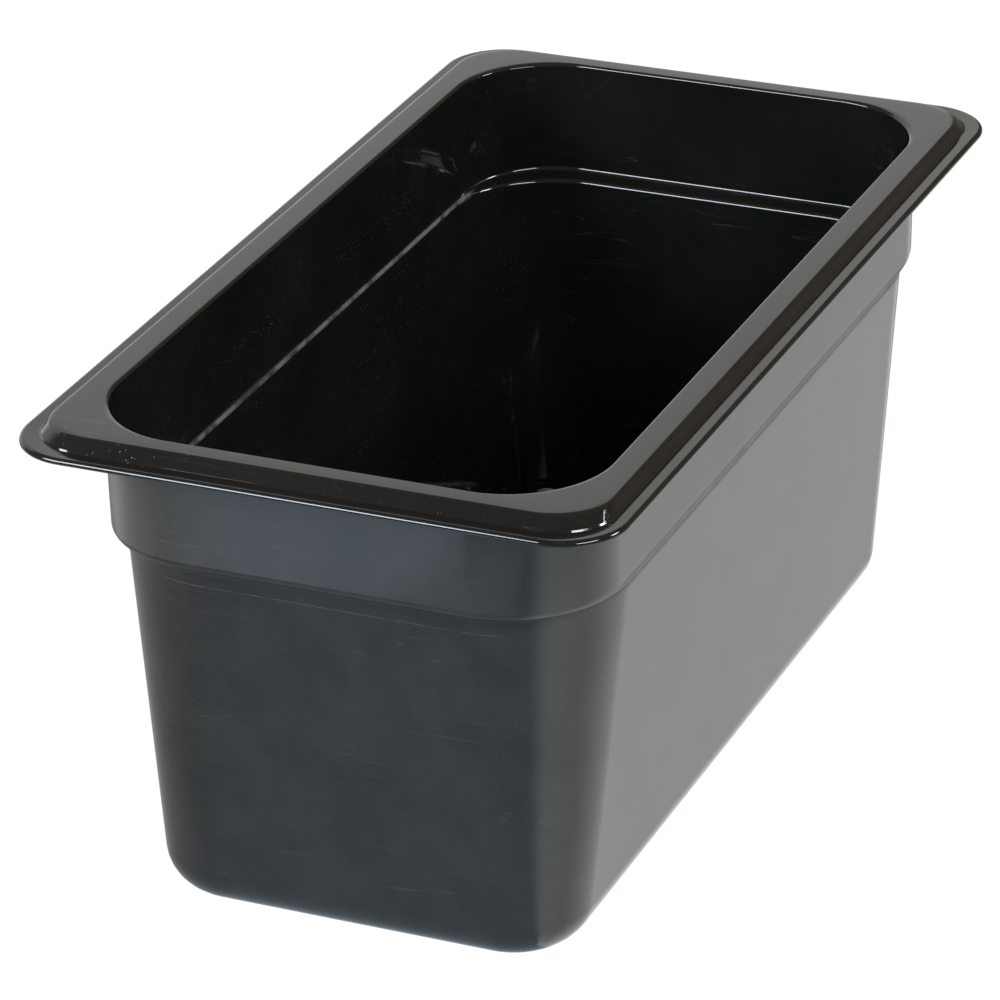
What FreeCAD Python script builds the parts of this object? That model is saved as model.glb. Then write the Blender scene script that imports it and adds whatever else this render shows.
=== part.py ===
import FreeCAD, Part
import math
import os
import Sketcher

# Third-size (gastronorm 1/3) food pan, 150 mm deep, one injection moulding in black plastic.
# Frame: origin at the centre of the base, +Z up, +X along the length, +Y along the width.
# Every outline is a rounded rectangle centred on the Z axis, given by its half length (_hx),
# its half width (_hy) and its corner radius (_cr). Heights are measured from the base.

DIMENSIONS = {
    # the rim: a raised land for the lid, and a lip below it with the standard 325 x 176 mm outline
    "rim_top": 150.0,
    "land_hx": 154.2,
    "land_hy": 81.5,
    "land_cr": 16.3,
    # the foot of the sloping step between the land and the lip
    "step_hx": 157.4,
    "step_hy": 83.2,
    "step_cr": 15.5,
    "lip_top": 146.5,
    "lip_underside": 145.0,
    "lip_hx": 162.5,
    "lip_hy": 88.0,
    "lip_cr": 18.7,
    # the channel under the rim, which keeps the land and the skirt round it at wall thickness
    "channel_roof": 147.5,
    "channel_hx": 152.6,
    "channel_hy": 79.8,
    "channel_cr": 9.8,
    # the collar, the nearly upright part of the wall below the rim: outside, at the top
    "collar_hx": 149.1,
    "collar_hy": 74.5,
    "collar_cr": 32.0,
    # the foot of the collar, where the shoulder begins
    "foot_height": 114.4,
    "foot_hx": 148.6,
    "foot_hy": 74.1,
    "foot_cr": 32.0,
    # the shoulder, which is a wide step at the ends and in the corners and hardly any on the sides
    "shoulder_round": 3.0,
    "shoulder_crease": 0.5,
    # the top of the tapered body
    "body_height": 109.96,
    "body_hx": 142.8,
    "body_hy": 73.4,
    "body_cr": 34.5,
    # the foot of the tapered body
    "base_hx": 137.8,
    "base_hy": 63.0,
    "base_cr": 21.7,
    # the walls, the floor, and the stacking ledge on the inner side of the shoulder
    "wall": 2.2,
    "collar_wall": 1.7,
    "floor": 2.5,
    "ledge_top": 114.9,
    "ledge_foot": 113.8,
    # radii of the other rounded edges
    "base_round": 12.5,
    "floor_round": 10.0,
    "ledge_fillet": 0.6,
    "ledge_round": 1.0,
    "opening_round": 1.0,
    "land_round": 2.5,
    "step_fillet": 0.5,
    "lip_round": 1.2,
    "lip_lower_round": 0.25,
}

# how far the shoulder has turned in from upright, in degrees, at the outlines that carry the
# round and the crease
CREASE_ANGLES = (0, 17, 34, 51, 68)
ROUND_ANGLES = (68, 60, 51, 43, 34, 26, 17, 9, 0)

# how far an edge may lie from the outline and the height that name it
EDGE_TOLERANCE = 0.05


def make_sheet(doc):
    """Keep the driving dimensions in a spreadsheet, one named cell each."""
    sheet = doc.addObject("Spreadsheet::Sheet", "Sheet")
    for row, (name, value) in enumerate(DIMENSIONS.items(), start=1):
        sheet.set(f"A{row}", name)
        sheet.set(f"B{row}", str(value))
        sheet.setAlias(f"B{row}", name)
    doc.recompute()
    return sheet


def origin_plane(body, role):
    """One of the body's own origin planes."""
    return next(item for item in body.Origin.OriginFeatures if item.Role == role)


def outline_size(name, inward="0"):
    """The three sizes of a named outline, as expressions, drawn in by some distance."""
    return tuple(f"Sheet.{name}_{size} - {inward}" for size in ("hx", "hy", "cr"))


def size_between(first, last, fraction):
    """The three sizes of the outline part of the way from one named outline to another."""
    return tuple(
        f"Sheet.{first}_{size} + (Sheet.{last}_{size} - Sheet.{first}_{size}) * ({fraction})"
        for size in ("hx", "hy", "cr")
    )


def add_outline(body, name, height, size):
    """A rounded rectangle on a level plane. Its height and its three sizes are expressions."""
    half_x, half_y, corner = size
    sketch = body.newObject("Sketcher::SketchObject", name)
    sketch.AttachmentSupport = (origin_plane(body, "XY_Plane"), "")
    sketch.MapMode = "FlatFace"
    sketch.setExpression("AttachmentOffset.Base.z", height)

    # rough sizes to draw with: the constraints below pull them to the sheet's values
    x, y, r = 100.0, 60.0, 20.0
    normal = FreeCAD.Vector(0, 0, 1)
    corners = ((x - r, r - y, -90), (x - r, y - r, 0), (r - x, y - r, 90), (r - x, r - y, 180))
    arcs = []
    for centre_x, centre_y, start in corners:
        circle = Part.Circle(FreeCAD.Vector(centre_x, centre_y, 0), normal, r)
        arc = Part.ArcOfCircle(circle, math.radians(start), math.radians(start + 90))
        arcs.append(sketch.addGeometry(arc))
    sides = (
        ((x, r - y), (x, y - r)),
        ((x - r, y), (r - x, y)),
        ((-x, y - r), (-x, r - y)),
        ((r - x, -y), (x - r, -y)),
    )
    lines = []
    for start, end in sides:
        line = Part.LineSegment(FreeCAD.Vector(*start, 0), FreeCAD.Vector(*end, 0))
        lines.append(sketch.addGeometry(line))
    right, top, left, bottom = lines

    start, end, centre, origin = 1, 2, 3, (-1, 1)
    for index, line in enumerate(lines):
        following = arcs[(index + 1) % 4]
        sketch.addConstraint(Sketcher.Constraint("Tangent", arcs[index], end, line, start))
        sketch.addConstraint(Sketcher.Constraint("Tangent", line, end, following, start))
    for line in (right, left):
        sketch.addConstraint(Sketcher.Constraint("Vertical", line))
    for line in (top, bottom):
        sketch.addConstraint(Sketcher.Constraint("Horizontal", line))
    for arc in arcs[1:]:
        sketch.addConstraint(Sketcher.Constraint("Equal", arcs[0], arc))
    sketch.addConstraint(Sketcher.Constraint("Symmetric", arcs[0], centre, arcs[2], centre, *origin))

    driving = (
        (Sketcher.Constraint("DistanceX", *origin, right, start, x), half_x),
        (Sketcher.Constraint("DistanceY", *origin, top, start, y), half_y),
        (Sketcher.Constraint("Radius", arcs[0], r), corner),
    )
    for constraint, expression in driving:
        index = sketch.addConstraint(constraint)
        sketch.setExpression(f"Constraints[{index}]", expression)
    return sketch


def add_pad(body, name, sketch, length):
    """Pad an outline straight up."""
    pad = body.newObject("PartDesign::Pad", name)
    pad.Profile = sketch
    pad.setExpression("Length", length)


def add_loft(body, kind, name, outlines):
    """Straight-sided loft through outlines, each a name, a height and a size, lowest first."""
    sketches = [add_outline(body, name + part, height, size) for part, height, size in outlines]
    loft = body.newObject(f"PartDesign::{kind}Loft", name)
    loft.Profile = sketches[0]
    loft.Sections = sketches[1:]
    loft.Ruled = True


def add_rim(body):
    """The lip, the raised land on it, and the channel that hollows the land from below."""
    bottom = "Sheet.lip_underside"
    lip = add_outline(body, "LipOutline", bottom, outline_size("lip"))
    add_pad(body, "Lip", lip, "Sheet.lip_top - Sheet.lip_underside")
    step = (
        ("Foot", "Sheet.lip_top", outline_size("step")),
        ("Edge", "Sheet.rim_top", outline_size("land")),
    )
    add_loft(body, "Additive", "Land", step)
    pocket = body.newObject("PartDesign::Pocket", "Channel")
    pocket.Profile = add_outline(body, "ChannelOutline", bottom, outline_size("channel"))
    pocket.setExpression("Length", "Sheet.channel_roof - Sheet.lip_underside")
    pocket.Reversed = True


def shoulder_outlines():
    """The outlines that follow the shoulder up: the crease on the body, then the round."""
    step = "(Sheet.foot_hx - Sheet.body_hx)"
    outlines = []
    for angle in CREASE_ANGLES:
        height = f"Sheet.body_height + Sheet.shoulder_crease * sin({angle} deg)"
        fraction = f"Sheet.shoulder_crease * (1 - cos({angle} deg)) / {step}"
        outlines.append((f"Crease{angle}", height, size_between("body", "foot", fraction)))
    for angle in ROUND_ANGLES:
        height = f"Sheet.foot_height - Sheet.shoulder_round * sin({angle} deg)"
        fraction = f"Sheet.shoulder_round * (1 - cos({angle} deg)) / {step}"
        outlines.append((f"Round{angle}", height, size_between("foot", "body", fraction)))
    return outlines


def add_walls(body):
    """The solid outer form below the rim, then the cavity that leaves the walls and the floor."""
    outer = (
        ("Base", "0 mm", outline_size("base")),
        *shoulder_outlines(),
        ("Top", "Sheet.rim_top", outline_size("collar")),
    )
    add_loft(body, "Additive", "Walls", outer)

    wall = "Sheet.wall"
    inner = (
        ("Floor", "Sheet.floor", outline_size("base", wall)),
        ("LedgeFoot", "Sheet.ledge_foot", outline_size("body", wall)),
        ("LedgeTop", "Sheet.ledge_top", outline_size("foot", wall)),
        ("Opening", "Sheet.rim_top", outline_size("collar", "Sheet.collar_wall")),
    )
    add_loft(body, "Subtractive", "Cavity", inner)


def ring_edges(shape, height, half_x, half_y):
    """Names of the edges that run round the pan on one outline, at one height."""
    names = []
    for number, edge in enumerate(shape.Edges, start=1):
        points = [edge.valueAt(edge.FirstParameter), edge.valueAt(edge.LastParameter)]
        level = all(abs(p.z - height) < EDGE_TOLERANCE for p in points)
        on_outline = all(
            abs(abs(p.x) - half_x) < EDGE_TOLERANCE or abs(abs(p.y) - half_y) < EDGE_TOLERANCE
            for p in points
        )
        if level and on_outline:
            names.append(f"Edge{number}")
    return names


def add_round(body, sheet, name, radius, height, outline, inward):
    """Round the ring of edges that one outline leaves at one height."""
    base = body.Tip
    drawn_in = sheet.get(inward) if inward else 0.0
    half_x = sheet.get(f"{outline}_hx") - drawn_in
    half_y = sheet.get(f"{outline}_hy") - drawn_in
    level = sheet.get(height) if height else 0.0
    edges = ring_edges(base.Shape, level, half_x, half_y)
    if len(edges) != 8:
        raise RuntimeError(f"{name}: a ring has 8 edges, found {len(edges)}")
    fillet = body.newObject("PartDesign::Fillet", name)
    fillet.Base = (base, edges)
    fillet.setExpression("Radius", f"Sheet.{radius}")
    body.Document.recompute()
    check(body.Document)


def add_rounds(body, sheet):
    """Round the edges, the large radii first."""
    rings = (
        ("BaseRound", "base_round", None, "base", None),
        ("FloorRound", "floor_round", "floor", "base", "wall"),
        ("LedgeFillet", "ledge_fillet", "ledge_top", "foot", "wall"),
        ("LedgeRound", "ledge_round", "ledge_foot", "body", "wall"),
        ("OpeningRound", "opening_round", "rim_top", "collar", "collar_wall"),
        ("LandRound", "land_round", "rim_top", "land", None),
        ("StepFillet", "step_fillet", "lip_top", "step", None),
        ("LipRound", "lip_round", "lip_top", "lip", None),
        ("LipLowerRound", "lip_lower_round", "lip_underside", "lip", None),
    )
    for ring in rings:
        add_round(body, sheet, *ring)


def check(doc):
    """Stop on an object that failed, because a recompute can fail without raising."""
    for item in doc.Objects:
        if "Invalid" in item.State or "Error" in item.State:
            raise RuntimeError(f"{item.Name} failed: {item.State}")


def build():
    """Draw the pan and return the bodies to export, which is the one moulding."""
    doc = FreeCAD.newDocument("FoodPan")
    sheet = make_sheet(doc)
    pan = doc.addObject("PartDesign::Body", "Pan")
    pan.Label = "pan"
    pan.Placement.Base = FreeCAD.Vector(0, 0, 0)
    add_rim(pan)
    add_walls(pan)
    doc.recompute()
    check(doc)
    add_rounds(pan, sheet)
    return [pan]


def export(nodes):
    """Write each node to its own file, once it is known to be one valid solid."""
    os.makedirs("parts", exist_ok=True)
    for node in nodes:
        shape = node.Shape
        if shape.isNull() or not shape.isValid() or len(shape.Solids) != 1:
            raise RuntimeError(f"{node.Label} is not one valid solid")
        shape.exportStep(os.path.join("parts", f"{node.Label}.step"))
        box = shape.optimalBoundingBox(False, False)
        size = f"{box.XLength:.2f} x {box.YLength:.2f} x {box.ZLength:.2f} mm"
        print(f"{node.Label}: {size}, {shape.Volume:.0f} mm3")


export(build())
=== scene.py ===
"""Black polycarbonate food pan, third size, 150 mm deep, on a plain pale floor.

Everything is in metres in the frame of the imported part: origin at the centre of the base, +Z up,
+X along the length. Lengths that are easier to read in millimetres are multiplied by MM.
"""

import math

import bmesh
import bpy
from mathutils import Matrix, Vector


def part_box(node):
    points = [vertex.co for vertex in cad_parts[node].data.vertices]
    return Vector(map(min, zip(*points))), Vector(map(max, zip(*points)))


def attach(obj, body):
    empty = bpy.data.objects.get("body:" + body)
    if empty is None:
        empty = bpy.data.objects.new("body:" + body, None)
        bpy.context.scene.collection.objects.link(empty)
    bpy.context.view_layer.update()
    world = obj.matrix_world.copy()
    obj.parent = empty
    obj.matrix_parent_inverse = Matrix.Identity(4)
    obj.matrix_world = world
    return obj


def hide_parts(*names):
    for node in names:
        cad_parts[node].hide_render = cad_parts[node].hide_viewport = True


MM = 0.001
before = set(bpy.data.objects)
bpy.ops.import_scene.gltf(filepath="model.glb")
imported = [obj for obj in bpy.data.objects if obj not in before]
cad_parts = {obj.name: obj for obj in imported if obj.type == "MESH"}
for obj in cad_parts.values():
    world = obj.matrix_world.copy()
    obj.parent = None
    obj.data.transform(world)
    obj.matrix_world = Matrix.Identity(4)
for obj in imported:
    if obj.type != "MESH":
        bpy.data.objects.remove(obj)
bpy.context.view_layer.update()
low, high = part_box("pan")

# ---------------------------------------------------------------------------------------------
# The shape. The wall is a profile carried round rounded rectangles. A point of the profile is
# (half length, half width, corner radius, height), so each point is one whole outline.
# ---------------------------------------------------------------------------------------------

CORNER_STEPS = 24
LONG_SIDE_STEPS = 12
SHORT_SIDE_STEPS = 8
ROUND_STEPS = 8

# Heights and thicknesses.
RIM_TOP = high.z / MM
LIP_TOP = RIM_TOP - 3.5
LIP_UNDERSIDE = RIM_TOP - 5.0
CHANNEL_ROOF = RIM_TOP - 2.5
LEDGE_TOP = 114.9
LEDGE_FOOT = 113.8
SHOULDER_TOP = 112.4
SHOULDER_FOOT = 110.3
WALL = 2.2
COLLAR_WALL = 1.7
FLOOR = 2.5
LAND_FALL = 0.15
POLISH_START = LIP_UNDERSIDE - 0.1

# The top of the lip leans in: it is a little above LIP_TOP at its edge and a little below at the
# foot of the step. A narrow band with nearly one slope all round leads up from there to a knee,
# and the rest of the step goes on to the land.
LIP_EDGE_RISE = 0.12
STEP_FOOT_DROP = 0.08
STEP_KNEE_RISE = 0.45

# Outlines: half length, half width, corner radius.
LIP = (high.x / MM, high.y / MM, 18.7)
LAND_EDGE = (154.2, 81.5, 16.3)
STEP_FOOT = (157.4, 83.2, 15.5)
STEP_KNEE = (156.944, 82.737, 14.748)
CHANNEL = (152.6, 79.8, 9.8)
COLLAR_TOP = (149.1, 74.5, 32.0)
COLLAR_FOOT = (148.6, 74.1, 32.0)
BODY_TOP = (142.8, 73.4, 34.5)
BASE = (137.8, 63.0, 21.7)
BASE_FLAT = (117.0, 42.2, 0.9)
FLOOR_FLAT = (116.0, 41.2, 0.1)


def inset(outline, distance):
    """The outline drawn in by a distance, with its corner radius."""
    return tuple(size - distance for size in outline)


def part_way(first, last, fraction):
    """The point part of the way from one point of a profile to another."""
    return tuple(a + (b - a) * fraction for a, b in zip(first, last))


def land_points(opening, edge):
    """Points over the raised land, which falls slightly from the opening to its outer edge."""
    points = []
    for fraction in (0.16, 0.30, 0.45, 0.60, 0.75):
        half_x, half_y, corner = part_way(edge, opening, fraction)
        drop = LAND_FALL * (1 - fraction / 0.75) ** 2
        points.append((half_x, half_y, corner, RIM_TOP - drop))
    return points


def wall_profile():
    """The corners of the section, each with the radius that rounds it: from the base up the
    outside, over the rim and down the inside."""
    opening = inset(COLLAR_TOP, COLLAR_WALL)
    profile = [
        ((*BASE_FLAT, 0.0), 0.0),
        ((*BASE, 0.0), 12.5),
        ((*BODY_TOP, SHOULDER_FOOT), 0.35),
        ((*COLLAR_FOOT, SHOULDER_TOP), 3.0),
        ((*COLLAR_TOP, CHANNEL_ROOF), 0.6),
        ((*CHANNEL, CHANNEL_ROOF), 0.6),
        ((*CHANNEL, LIP_UNDERSIDE), 0.5),
        ((*LIP, LIP_UNDERSIDE), 0.15),
        ((*LIP, LIP_TOP + LIP_EDGE_RISE), 1.3),
        ((*STEP_FOOT, LIP_TOP - STEP_FOOT_DROP), 0.3),
        ((*STEP_KNEE, LIP_TOP + STEP_KNEE_RISE), 0.3),
        ((*LAND_EDGE, RIM_TOP - LAND_FALL), 2.5),
    ]
    profile += [(point, 0.0) for point in land_points(opening, LAND_EDGE)]
    profile += [
        ((*opening, RIM_TOP), 1.0),
        ((*inset(COLLAR_FOOT, WALL), LEDGE_TOP), 1.5),
        ((*inset(BODY_TOP, WALL), LEDGE_FOOT), 1.5),
        ((*inset(BASE, WALL), FLOOR), 10.0),
        ((*FLOOR_FLAT, FLOOR), 0.0),
    ]
    return profile


def minus(first, last):
    return tuple(a - b for a, b in zip(first, last))


def along(point, direction, distance):
    return tuple(a + b * distance for a, b in zip(point, direction))


def unit(direction):
    """A direction of the profile, scaled to one millimetre of half length and height."""
    length = math.hypot(direction[0], direction[3])
    return tuple(a / length for a in direction)


def rounded(profile, steps):
    """The profile with its corners rounded, as (point, tangent) pairs, without the two ends."""
    rings = []
    for (before, _), (corner, radius), (after, _) in zip(profile, profile[1:], profile[2:]):
        back = unit(minus(before, corner))
        ahead = unit(minus(after, corner))
        if radius == 0.0:
            rings.append((corner, minus(ahead, back)))
            continue
        cosine = -(back[0] * ahead[0] + back[3] * ahead[3])
        turn = math.acos(max(-1.0, min(1.0, cosine)))
        reach = radius * math.tan(turn / 2)
        first = along(corner, back, reach)
        last = along(corner, ahead, reach)
        weight = math.cos(turn / 2)
        for step in range(steps + 1):
            t = step / steps
            a, b, c = (1 - t) ** 2, 2 * t * (1 - t) * weight, t * t
            total = a + b + c
            point = tuple(
                (a * p + b * q + c * r) / total for p, q, r in zip(first, corner, last)
            )
            da, db, dc = -2 * (1 - t), 2 * (1 - 2 * t) * weight, 2 * t
            slope = tuple(
                (da * p + db * q + dc * r - (da + db + dc) * m) / total
                for p, q, r, m in zip(first, corner, last, point)
            )
            rings.append((point, slope))
    return rings


def flat_rings(outline, height, outward):
    """Outlines on a level face between its middle and the given outline, in profile order."""
    half_x, half_y, _ = outline
    rings = []
    for fraction in (0.2, 0.45, 0.7, 0.9):
        size = (half_x - half_y * (1 - fraction), half_y * fraction)
        rings.append(((*size, 0.45 * half_y * fraction, height), (1.0, 1.0, 1.0, 0.0)))
    if outward:
        return rings
    return [(point, tuple(-a for a in slope)) for point, slope in reversed(rings)]


def outline_samples():
    """Where the points of an outline sit: (side factors, cosine, sine) going round from +X."""
    samples = []
    corners = ((1, 1), (-1, 1), (-1, -1), (1, -1))
    for quarter, (sign_x, sign_y) in enumerate(corners):
        for step in range(CORNER_STEPS + 1):
            angle = math.radians(90 * (quarter + step / CORNER_STEPS))
            samples.append((sign_x, sign_y, math.cos(angle), math.sin(angle)))
        next_x, next_y = corners[(quarter + 1) % 4]
        steps = LONG_SIDE_STEPS if quarter % 2 == 0 else SHORT_SIDE_STEPS
        angle = math.radians(90 * (quarter + 1))
        for step in range(1, steps):
            factor_x = sign_x + (next_x - sign_x) * step / steps
            factor_y = sign_y + (next_y - sign_y) * step / steps
            samples.append((factor_x, factor_y, math.cos(angle), math.sin(angle)))
    return samples


def make_pan(outside, polished):
    """The pan as one closed skin, with the normals of the true surface."""
    rounds = rounded(wall_profile(), ROUND_STEPS)
    base = flat_rings(BASE, 0.0, True)
    base = [ring for ring in base if ring[0][0] < rounds[0][0][0]]
    floor = flat_rings(inset(BASE, WALL), FLOOR, False)
    floor = [ring for ring in floor if ring[0][0] < rounds[-1][0][0]]
    rings = base + rounds + floor
    samples = outline_samples()

    vertices = []
    normals = []
    for (half_x, half_y, corner, height), (slope_x, slope_y, slope_r, slope_z) in rings:
        for factor_x, factor_y, cosine, sine in samples:
            x = factor_x * (half_x - corner) + corner * cosine
            y = factor_y * (half_y - corner) + corner * sine
            vertices.append(Vector((x, y, height)) * MM)
            upward = Vector(
                (
                    factor_x * (slope_x - slope_r) + slope_r * cosine,
                    factor_y * (slope_y - slope_r) + slope_r * sine,
                    slope_z,
                )
            )
            normals.append(Vector((-sine, cosine, 0.0)).cross(upward).normalized())

    count = len(samples)
    faces = [tuple(reversed(range(count)))]
    for ring in range(len(rings) - 1):
        start = ring * count
        for index in range(count):
            following = (index + 1) % count
            faces.append(
                (start + index, start + following, start + count + following, start + count + index)
            )
    faces.append(tuple(range(len(vertices) - count, len(vertices))))

    mesh = bpy.data.meshes.new("food_pan")
    mesh.from_pydata(vertices, [], faces)
    mesh.materials.append(outside)
    mesh.materials.append(polished)
    for polygon in mesh.polygons:
        polygon.use_smooth = True
        inner = polygon.index > len(faces) // 2
        polygon.material_index = 1 if inner or polygon.center.z > POLISH_START * MM else 0
    mesh.normals_split_custom_set_from_vertices(normals)
    pan = bpy.data.objects.new("food_pan", mesh)
    bpy.context.scene.collection.objects.link(pan)
    return pan


# ---------------------------------------------------------------------------------------------
# Materials
# ---------------------------------------------------------------------------------------------


class Nodes:
    """Adds nodes to a tree, with the inputs given as values or as sockets to link."""

    def __init__(self, tree):
        self.tree = tree

    def add(self, kind, inputs=None, **settings):
        node = self.tree.nodes.new(kind)
        for name, value in settings.items():
            setattr(node, name, value)
        for name, value in (inputs or {}).items():
            if isinstance(value, bpy.types.NodeSocket):
                self.tree.links.new(value, node.inputs[name])
            else:
                node.inputs[name].default_value = value
        return node

    def math(self, operation, first, second=0.0):
        return self.add("ShaderNodeMath", {0: first, 1: second}, operation=operation).outputs[0]

    def ramp(self, value, start, end, low=0.0, high=1.0):
        """A smooth step from low to high as the value goes from start to end."""
        inputs = {"Value": value, "From Min": start, "From Max": end, "To Min": low, "To Max": high}
        node = self.add("ShaderNodeMapRange", inputs, interpolation_type="SMOOTHSTEP")
        return node.outputs["Result"]

    def mix(self, factor, first, second):
        """A colour between two, which may be sockets."""
        node = self.add("ShaderNodeMix", {"Factor": factor}, data_type="RGBA")
        for index, value in ((6, first), (7, second)):
            if isinstance(value, bpy.types.NodeSocket):
                self.tree.links.new(value, node.inputs[index])
            else:
                node.inputs[index].default_value = value
        return node.outputs[2]

    def place(self, scale=(1.0, 1.0, 1.0), turn=(0.0, 0.0, 0.0)):
        """The position in the object's own frame, in metres, scaled and turned."""
        position = self.add("ShaderNodeTexCoord").outputs["Object"]
        inputs = {"Vector": position, "Scale": scale, "Rotation": turn}
        return self.add("ShaderNodeMapping", inputs).outputs["Vector"]

    def noise(self, scale, detail=3.0, roughness=0.5, place=None):
        inputs = {
            "Vector": place or self.place(),
            "Scale": scale,
            "Detail": detail,
            "Roughness": roughness,
        }
        return self.add("ShaderNodeTexNoise", inputs).outputs["Fac"]

    def specks(self, scale, share, size):
        """Sparse dots: one in some cells of a lattice, of one over the scale in metres."""
        inputs = {"Vector": self.place(), "Scale": scale}
        cells = self.add("ShaderNodeTexVoronoi", inputs)
        chosen = self.math("GREATER_THAN", cells.outputs["Color"], 1.0 - share)
        dot = self.ramp(cells.outputs["Distance"], size, size * 0.4)
        return self.math("MULTIPLY", chosen, dot)


# What differs between the two finishes. Dust amounts are shares of the lattice cells.
OUTSIDE = {
    "cloud_scale": 55.0,
    "deep": (0.0125, 0.0130, 0.0125, 1.0),
    "pale": (0.0210, 0.0210, 0.0190, 1.0),
    "roughness": (0.09, 0.14),
    "coarse_dust": 0.04,
    "fine_dust": 0.08,
    "dust_cover": 0.40,
    # The colour of the bands at one height: outside, the thin lighter line on the -X end.
    "band_at_height": (0.045, 0.045, 0.045, 1.0),
    "grain": 1.4,
}
INSIDE = {
    "cloud_scale": 22.0,
    "deep": (0.0055, 0.0055, 0.0050, 1.0),
    "pale": (0.0090, 0.0085, 0.0075, 1.0),
    "roughness": (0.04, 0.08),
    "coarse_dust": 0.14,
    "fine_dust": 0.22,
    "dust_cover": 0.95,
    # The colour of the bands at one height: inside, a painted highlight along the ledge.
    "band_at_height": (0.15, 0.15, 0.15, 1.0),
    "grain": 0.8,
}
# Bands at one height: their height and how far they reach up and down, in metres.
# A painted highlight along the ledge on the +Y inner wall.
LEDGE_HIGHLIGHT = (0.1136, 0.0009)
# A thin lighter line across the -X end below the shoulder.
FRONT_LINE = (0.1049, 0.00022)
# The shoulder band, scuffed by stacking: it only dulls the finish.
SHOULDER_RUB = (0.1110, 0.0030)
SCRATCH_COLOUR = (0.10, 0.10, 0.10, 1.0)
DUST_COLOUR = (0.17, 0.165, 0.15, 1.0)
BUMP_HEIGHT = 0.000004


def scratch_mask(nodes):
    """Fine scratches in patches: long thin lines where a stretched noise crosses its middle."""
    layers = []
    for turn, scale in (((0.1, 0.05, 0.4), 260.0), ((0.9, 0.6, 1.9), 340.0)):
        strokes = nodes.noise(scale, 1.0, 0.4, nodes.place((1.0, 0.03, 1.0), turn))
        patches = nodes.ramp(nodes.noise(30.0, 2.0, 0.5, nodes.place(turn=turn)), 0.52, 0.62)
        offset = nodes.math("ABSOLUTE", nodes.math("SUBTRACT", strokes, 0.5))
        layers.append(nodes.math("MULTIPLY", nodes.ramp(offset, 0.006, 0.001), patches))
    return nodes.math("MAXIMUM", *layers)


def dust_mask(nodes, finish):
    """Specks of two sizes, thicker in some places than in others."""
    settled = nodes.ramp(nodes.noise(14.0, 2.0), 0.38, 0.60, 0.2, 1.0)
    coarse = nodes.specks(520.0, finish["coarse_dust"], 0.10)
    fine = nodes.specks(1300.0, finish["fine_dust"], 0.20)
    return nodes.math("MULTIPLY", nodes.math("MAXIMUM", coarse, fine), settled)


def band_at_height(nodes, height, level, reach):
    """A band at one height. It serves the shoulder scuffed by stacking, a painted highlight along
    the inner ledge and a thin lighter line on the -X end.
    """
    away = nodes.math("ABSOLUTE", nodes.math("SUBTRACT", height, level))
    return nodes.ramp(away, reach, reach * 0.4)


def inside_dust_and_highlight(nodes, place, dust):
    """More dust on the +Y wall and little at the +X end: partly real dust, partly painted light
    that makes the +Y wall lighter as if lit more. A painted highlight runs along the ledge on that
    wall.
    """
    x, y, z = place
    # Partly painted light: more dust on the +Y wall and less at the +X end make the +Y wall
    # lighter, as if lit.
    settled = nodes.ramp(y, -0.03, 0.07, 0.40, 1.0)
    settled = nodes.math("MULTIPLY", settled, nodes.ramp(x, 0.139, 0.125, 0.1, 1.0))
    # Painted highlight: a lighter band along the ledge on the +Y wall.
    ledge = band_at_height(nodes, z, *LEDGE_HIGHLIGHT)
    ledge = nodes.math("MULTIPLY", ledge, nodes.ramp(y, 0.0695, 0.0705))
    return nodes.math("MULTIPLY", dust, settled), ledge, 0.0


def outside_marks(nodes, place, dust):
    """A thin lighter line crosses the -X end below the shoulder, and the shoulder is dulled."""
    x, _, z = place
    line = band_at_height(nodes, z, *FRONT_LINE)
    line = nodes.math("MULTIPLY", line, nodes.ramp(x, -0.1400, -0.1415))
    return dust, line, band_at_height(nodes, z, *SHOULDER_RUB)


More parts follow.
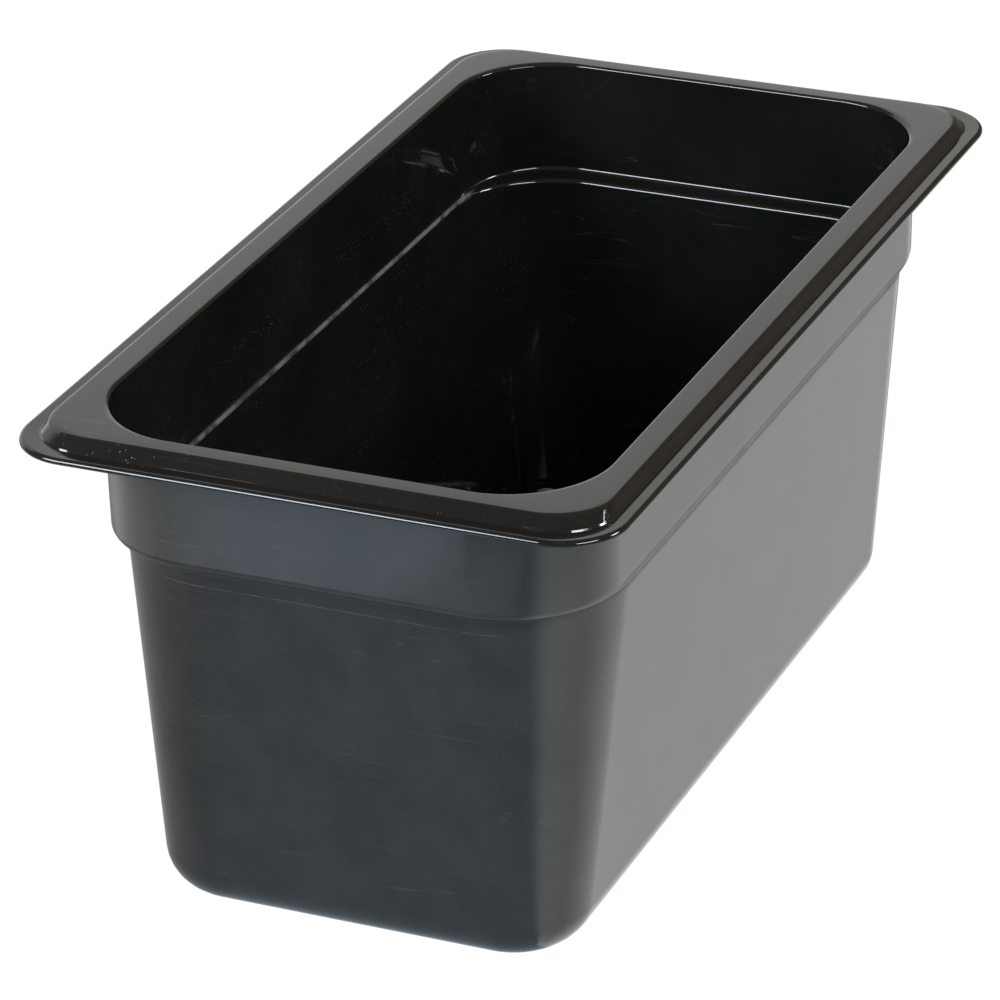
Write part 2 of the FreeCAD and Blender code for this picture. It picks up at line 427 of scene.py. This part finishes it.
def plastic(name, finish, markings):
    """Black polycarbonate: faintly mottled, handled, with fine scratches and a little dust."""
    material = bpy.data.materials.new(name)
    material.use_nodes = True
    shader = material.node_tree.nodes["Principled BSDF"]
    nodes = Nodes(material.node_tree)
    links = material.node_tree.links

    cloud = nodes.noise(finish["cloud_scale"], 5.0, 0.65)
    grain = nodes.noise(900.0, 2.0, 0.6)
    smear = nodes.noise(60.0, 3.0, 0.6, nodes.place((1.0, 1.0, 0.22), (0.3, 0.2, 0.5)))
    scratch = scratch_mask(nodes)
    place = nodes.add("ShaderNodeSeparateXYZ", {0: nodes.place()}).outputs
    dust, lighter_band, dulled = markings(nodes, place, dust_mask(nodes, finish))
    broken = nodes.ramp(nodes.noise(120.0, 3.0, 0.7), 0.35, 0.60, 0.25, 1.0)
    lighter_band = nodes.math("MULTIPLY", lighter_band, broken)

    colour = nodes.mix(nodes.ramp(cloud, 0.3, 0.7), finish["deep"], finish["pale"])
    colour = nodes.mix(nodes.math("MULTIPLY", scratch, 0.16), colour, SCRATCH_COLOUR)
    # Dust; inside, it is partly painted light that lightens the +Y wall.
    colour = nodes.mix(nodes.math("MULTIPLY", dust, finish["dust_cover"]), colour, DUST_COLOUR)
    # The lighter band: inside, a painted highlight on the ledge; outside, a thin lighter line.
    colour = nodes.mix(lighter_band, colour, finish["band_at_height"])
    links.new(colour, shader.inputs["Base Color"])

    rough = nodes.ramp(smear, 0.32, 0.68, *finish["roughness"])
    marks = ((cloud, 0.02), (scratch, 0.10), (dust, 0.35), (lighter_band, 0.20), (dulled, 0.30))
    for mask, amount in marks:
        rough = nodes.math("ADD", rough, nodes.math("MULTIPLY", mask, amount))
    links.new(rough, shader.inputs["Roughness"])

    height = nodes.math("MULTIPLY", grain, finish["grain"])
    for mask, amount in ((smear, 4.0), (scratch, -0.5), (dust, 3.0)):
        height = nodes.math("ADD", height, nodes.math("MULTIPLY", mask, amount))
    bump_inputs = {"Strength": 1.0, "Distance": BUMP_HEIGHT, "Height": height}
    bump = nodes.add("ShaderNodeBump", bump_inputs)
    links.new(bump.outputs["Normal"], shader.inputs["Normal"])
    shader.inputs["IOR"].default_value = 1.5
    return material


def glow_material(name, light):
    """A material that is plain white to the camera and elsewhere glows with what light returns:
    painted light and shade that light the pan and show in its reflections.
    """
    material = bpy.data.materials.new(name)
    material.use_nodes = True
    tree = material.node_tree
    tree.nodes.remove(tree.nodes["Principled BSDF"])
    nodes = Nodes(tree)
    seen = nodes.add("ShaderNodeLightPath").outputs["Is Camera Ray"]
    lit = nodes.add("ShaderNodeEmission", {"Color": light(nodes)})
    white = {"Color": (1.0, 1.0, 1.0, 1.0), "Strength": CAMERA_WHITE}
    plain = nodes.add("ShaderNodeEmission", white)
    both = nodes.add("ShaderNodeMixShader", {0: seen, 1: lit.outputs[0], 2: plain.outputs[0]})
    tree.links.new(both.outputs[0], tree.nodes["Material Output"].inputs["Surface"])
    return material


# ---------------------------------------------------------------------------------------------
# Stage, lights and camera
# ---------------------------------------------------------------------------------------------

STAGE_RADIUS = 3.2
FLOOR_GAP = 0.0002
WALL_TOP = 2.75
CAMERA_WHITE = 1.02
ROOM = (0.215, 0.18, 0.14, 1.0)

# The wall's bright part lies between two edges, in degrees round from +X, and it is brightest
# from a third edge on, below a height over the wall's middle.
WALL_TONE = (0.95, 0.96, 0.94, 1.0)
LOW_WALL_TONE = (1.5, 1.5, 1.48, 1.0)
WALL_START = (6, 14)
WALL_END = (90, 75)
LOW_WALL_START = (24, 32)
LOW_WALL_TOP = (-0.5, -0.9)

# The floor's glow is painted light and a painted shadow of the pan, seen in the pan's reflections.
# The floor in front of the pan is graded by the distance from one point, near the front left
# corner, and the floor on the right by the direction from another, near the front right corner.
# Each edge between two tones is soft: the places, or the degrees, where it starts and ends.
LEFT_POINT = (-0.111, 0.0375)
RIGHT_POINT = (-0.13, -0.055)
SHADOW_EDGE = (0.212, 0.242)
LEFT_EDGE = (-0.034, 0.02)
LEFT_EDGE_SLANT = 0.433
FAR_RIGHT_EDGE = (0.052, 0.076)
BEHIND_EDGE = (-0.09, 0.09)
RIGHT_EDGE = (34, 60)
FLOOR_EDGE = (0.75, 1.0)
NEAR_FRONT = (0.48, 0.57, 0.66, 1.0)
NEAR_LEFT = (0.46, 0.46, 0.45, 1.0)
FAR_FRONT = (1.30, 1.52, 1.84, 1.0)
FAR_LEFT = (1.12, 1.15, 1.12, 1.0)
FAR_RIGHT = (0.74, 0.85, 0.92, 1.0)
BEHIND = (0.36, 0.36, 0.35, 1.0)

# Half the floor's painted brightness on the right, by its direction as a share of the half turn
# from -X to +X.
RIGHT_STOPS = (
    (0.36, (0.70, 0.76, 0.78)),
    (0.43, (0.67, 0.73, 0.74)),
    (0.54, (0.50, 0.54, 0.54)),
    (0.65, (0.62, 0.66, 0.65)),
    (0.76, (0.66, 0.69, 0.68)),
    (0.90, (0.51, 0.53, 0.51)),
    (1.00, (0.49, 0.51, 0.48)),
)

# Name, azimuth and elevation, angular width and height, brightness, colour.
WINDOWS = (
    ("window_left", (143.5, 28.5), (33.0, 18.6), 22.0, (0.74, 0.85, 1.0)),
    ("window_right", (-121.0, 37.0), (27.0, 10.0), 21.0, (1.0, 1.0, 1.0)),
    ("window_far_right", (-72.0, 29.0), (13.0, 8.0), 38.0, (1.0, 1.0, 1.0)),
)
WINDOW_DISTANCE = 1.6


def front_light(nodes, x, y):
    """The floor in front: a painted soft shadow of the pan close to it, open and brighter further
    off.
    """
    ahead = nodes.math("SUBTRACT", nodes.math("MULTIPLY", x, -1.0), -LEFT_POINT[0])
    aside = nodes.math("SUBTRACT", y, LEFT_POINT[1])
    squares = [nodes.math("POWER", nodes.math("MAXIMUM", part), 2.0) for part in (ahead, aside)]
    away = nodes.math("SQRT", nodes.math("ADD", *squares))
    slanted = nodes.math("ADD", y, nodes.math("MULTIPLY", x, LEFT_EDGE_SLANT))
    round_left = nodes.ramp(slanted, *LEFT_EDGE)
    near = nodes.mix(round_left, NEAR_FRONT, NEAR_LEFT)
    far = nodes.mix(round_left, FAR_FRONT, FAR_LEFT)
    far = nodes.mix(nodes.ramp(y, *FAR_RIGHT_EDGE), FAR_RIGHT, far)
    front = nodes.mix(nodes.ramp(away, *SHADOW_EDGE), near, far)
    # Painted shade on the floor behind the pan.
    return nodes.mix(nodes.ramp(x, *BEHIND_EDGE), front, BEHIND)


def right_light(nodes, angle):
    """The floor on the right, with painted light, uneven under the windows there."""
    turned = nodes.math("DIVIDE", angle, math.pi)
    graded = nodes.add("ShaderNodeValToRGB", {"Fac": turned})
    graded.color_ramp.interpolation = "B_SPLINE"
    elements = graded.color_ramp.elements
    while len(elements) < len(RIGHT_STOPS):
        elements.new(0.5)
    for element, (position, tone) in zip(elements, RIGHT_STOPS):
        element.position = position
        element.color = (*tone, 1.0)
    twice = {0: graded.outputs["Color"], 1: (2.0, 2.0, 2.0)}
    return nodes.add("ShaderNodeVectorMath", twice, operation="MULTIPLY").outputs["Vector"]


def floor_light(nodes):
    """The painted light and shade of the pale floor round the pan, as far as the edge where the dim
    room begins.
    """
    position = nodes.place()
    place = nodes.add("ShaderNodeSeparateXYZ", {0: position})
    x, y = place.outputs["X"], place.outputs["Y"]
    back_x = nodes.math("MULTIPLY", nodes.math("ADD", x, -RIGHT_POINT[0]), -1.0)
    back_y = nodes.math("MULTIPLY", nodes.math("ADD", y, -RIGHT_POINT[1]), -1.0)
    angle = nodes.math("ARCTAN2", back_y, back_x)
    side = nodes.ramp(angle, *map(math.radians, RIGHT_EDGE))
    lit = nodes.mix(side, front_light(nodes, x, y), right_light(nodes, angle))
    distance = nodes.add("ShaderNodeVectorMath", {0: position}, operation="LENGTH")
    return nodes.mix(nodes.ramp(distance.outputs["Value"], *FLOOR_EDGE), lit, ROOM)


def wall_light(nodes):
    """The wall behind the pan glows with painted light: bright, and brightest low on its left; the
    rest of the room is dim."""
    place = nodes.add("ShaderNodeSeparateXYZ", {0: nodes.place()})
    angle = nodes.math("ARCTAN2", place.outputs["Y"], place.outputs["X"])
    start = nodes.ramp(angle, *map(math.radians, WALL_START))
    end = nodes.ramp(angle, *map(math.radians, WALL_END))
    low_left = nodes.ramp(angle, *map(math.radians, LOW_WALL_START))
    low_left = nodes.math("MULTIPLY", low_left, nodes.ramp(place.outputs["Z"], *LOW_WALL_TOP))
    bright = nodes.mix(low_left, WALL_TONE, LOW_WALL_TONE)
    return nodes.mix(nodes.math("MULTIPLY", start, end), ROOM, bright)


def make_stage():
    """A pale floor and a wall far round it."""
    builder = bmesh.new()
    bmesh.ops.create_circle(builder, cap_ends=True, segments=96, radius=STAGE_RADIUS)
    mesh = bpy.data.meshes.new("floor")
    builder.to_mesh(mesh)
    builder.free()
    mesh.materials.append(glow_material("studio_floor", floor_light))
    floor = bpy.data.objects.new("floor", mesh)
    floor.location.z = low.z - FLOOR_GAP
    bpy.context.scene.collection.objects.link(floor)

    builder = bmesh.new()
    bmesh.ops.create_cone(
        builder,
        cap_ends=False,
        segments=96,
        radius1=STAGE_RADIUS,
        radius2=STAGE_RADIUS,
        depth=WALL_TOP,
    )
    mesh = bpy.data.meshes.new("backdrop")
    builder.to_mesh(mesh)
    builder.free()
    mesh.materials.append(glow_material("studio_backdrop", wall_light))
    wall = bpy.data.objects.new("backdrop", mesh)
    wall.location.z = low.z + WALL_TOP / 2
    bpy.context.scene.collection.objects.link(wall)


def add_window(name, direction, spread, brightness, colour):
    """A soft rectangular light facing the pan: its direction and its angular size in degrees."""
    width, tall = (2 * WINDOW_DISTANCE * math.tan(math.radians(angle / 2)) for angle in spread)
    data = bpy.data.lights.new(name, "AREA")
    data.shape = "RECTANGLE"
    data.size, data.size_y = width, tall
    data.energy = brightness * math.pi * width * tall
    data.color = colour
    light = bpy.data.objects.new(name, data)
    light.visible_camera = False
    turn, rise = (math.radians(angle) for angle in direction)
    towards = Vector(
        (math.cos(turn) * math.cos(rise), math.sin(turn) * math.cos(rise), math.sin(rise))
    )
    across = Vector((0.0, 0.0, 1.0)).cross(towards).normalized()
    over = towards.cross(across)
    centre = Vector((0.0, 0.0, high.z))
    facing = Matrix((across, over, towards)).transposed().to_4x4()
    light.matrix_world = Matrix.Translation(centre + towards * WINDOW_DISTANCE) @ facing
    bpy.context.scene.collection.objects.link(light)


def add_lights():
    """Three windows in a dim room: one to the left of the camera, two to its right."""
    for window in WINDOWS:
        add_window(*window)
    world = bpy.data.worlds.new("studio")
    world.use_nodes = True
    world.node_tree.nodes["Background"].inputs["Color"].default_value = ROOM
    bpy.context.scene.world = world


CAMERA_AZIMUTH = -66.62
CAMERA_ELEVATION = 25.73
CAMERA_ROLL = -1.2
CAMERA_DISTANCE = 1.56707
CAMERA_AIM = (-0.01006, -0.00155)
CAMERA_LENS = 192.46


def add_camera():
    """The photographer's place: low over one end, a little to the side, with a long lens."""
    azimuth = math.radians(CAMERA_AZIMUTH)
    elevation = math.radians(CAMERA_ELEVATION)
    back = Vector(
        (
            math.sin(azimuth) * math.cos(elevation),
            -math.cos(azimuth) * math.cos(elevation),
            math.sin(elevation),
        )
    )
    level = (-back).cross(Vector((0.0, 0.0, 1.0))).normalized()
    upright = level.cross(-back)
    turn = math.radians(CAMERA_ROLL)
    right = level * math.cos(turn) + upright * math.sin(turn)
    up = upright * math.cos(turn) - level * math.sin(turn)
    middle = Vector((0.0, 0.0, high.z / 2))
    place = middle + level * CAMERA_AIM[0] + upright * CAMERA_AIM[1] + back * CAMERA_DISTANCE

    data = bpy.data.cameras.new("camera")
    data.sensor_width = 36.0
    data.lens = CAMERA_LENS
    camera = bpy.data.objects.new("camera", data)
    facing = Matrix((right, up, back)).transposed().to_4x4()
    camera.matrix_world = Matrix.Translation(place) @ facing
    bpy.context.scene.collection.objects.link(camera)
    bpy.context.scene.camera = camera


bpy.context.scene.view_settings.view_transform = "Standard"
add_camera()
satin = plastic("black_satin", OUTSIDE, outside_marks)
polished = plastic("black_polished", INSIDE, inside_dust_and_highlight)
pan = make_pan(satin, polished)
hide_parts("pan")
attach(pan, "root")
make_stage()
add_lights()
